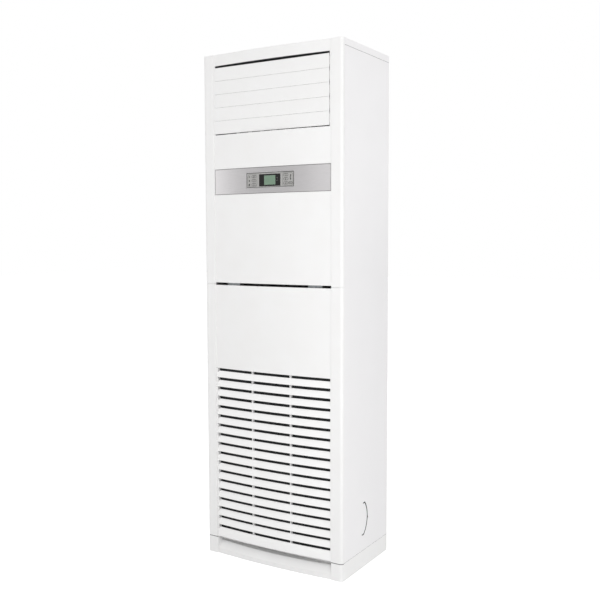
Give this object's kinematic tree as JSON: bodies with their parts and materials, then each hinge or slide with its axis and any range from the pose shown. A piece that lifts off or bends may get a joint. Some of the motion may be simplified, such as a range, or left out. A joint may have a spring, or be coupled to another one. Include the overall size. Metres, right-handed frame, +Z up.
{
  "type": "floor standing air conditioner",
  "caption": "Tall floor standing air conditioner cabinet with a bowed front between posts, a slatted intake, a silver control band and tilting outlet vanes.",
  "frame": {"origin": "middle of the cabinet's box in plan, on the floor it stands on", "axes": "+Z up, the front faces -Y, +X to the right of someone facing the front"},
  "size_m": [0.564, 0.3536, 1.8],
  "materials": {
    "white_abs": "moulded, satin gloss",
    "white_steel": "powder coated, satin",
    "silver_band": "brushed silver film",
    "grey_overlay": "silver grey membrane",
    "black_gloss": "gloss",
    "lcd_green": "clear window over a green display",
    "dark_mesh": "fine black mesh",
    "grey_plastic": "moulded, matt",
    "aluminium": "plain fins",
    "galvanised": "galvanised"
  },
  "bodies": {
    "cabinet": {"base_plinth": "white_abs", "left_side_panel": "white_steel", "right_side_panel": "white_steel", "rear_panel": "white_steel", "top_cover": "white_steel", "upper_front_panel": "white_abs", "lower_front_panel": "white_abs", "panel_catch_left": "galvanised", "panel_catch_right": "galvanised", "intake_grille": "white_abs", "air_filter_left": "dark_mesh", "air_filter_right": "dark_mesh", "control_band": "silver_band", "control_panel": "grey_overlay", "display_bezel": "black_gloss", "display_window": "lcd_green", "outlet_duct": "grey_plastic", "outlet_deflectors": "grey_plastic", "evaporator_coil": "aluminium", "drain_pan": "galvanised"},
    "vane_1": {"vane_1": "white_abs"},
    "vane_2": {"vane_2": "white_abs"},
    "vane_3": {"vane_3": "white_abs"},
    "vane_4": {"vane_4": "white_abs"},
    "vane_5": {"vane_5": "white_abs"}
  },
  "joints": [
    {"name": "vane_1_tilt", "type": "hinge", "parent": "cabinet", "child": "vane_1", "pos_m": [0, -0.15775, 1.54628], "axis": [-1, 0, 0], "range_deg": [0, 80]},
    {"name": "vane_2_tilt", "type": "hinge", "parent": "cabinet", "child": "vane_2", "pos_m": [0, -0.15775, 1.59244], "axis": [-1, 0, 0], "range_deg": [0, 80]},
    {"name": "vane_3_tilt", "type": "hinge", "parent": "cabinet", "child": "vane_3", "pos_m": [0, -0.15775, 1.6386], "axis": [-1, 0, 0], "range_deg": [0, 80]},
    {"name": "vane_4_tilt", "type": "hinge", "parent": "cabinet", "child": "vane_4", "pos_m": [0, -0.15775, 1.68476], "axis": [-1, 0, 0], "range_deg": [0, 80]},
    {"name": "vane_5_tilt", "type": "hinge", "parent": "cabinet", "child": "vane_5", "pos_m": [0, -0.15775, 1.73092], "axis": [-1, 0, 0], "range_deg": [0, 80]}
  ],
  "couplings": [
    {"joint": "vane_2_tilt", "follows": "vane_1_tilt", "ratio": 1},
    {"joint": "vane_3_tilt", "follows": "vane_1_tilt", "ratio": 1},
    {"joint": "vane_4_tilt", "follows": "vane_1_tilt", "ratio": 1},
    {"joint": "vane_5_tilt", "follows": "vane_1_tilt", "ratio": 1}
  ]
}
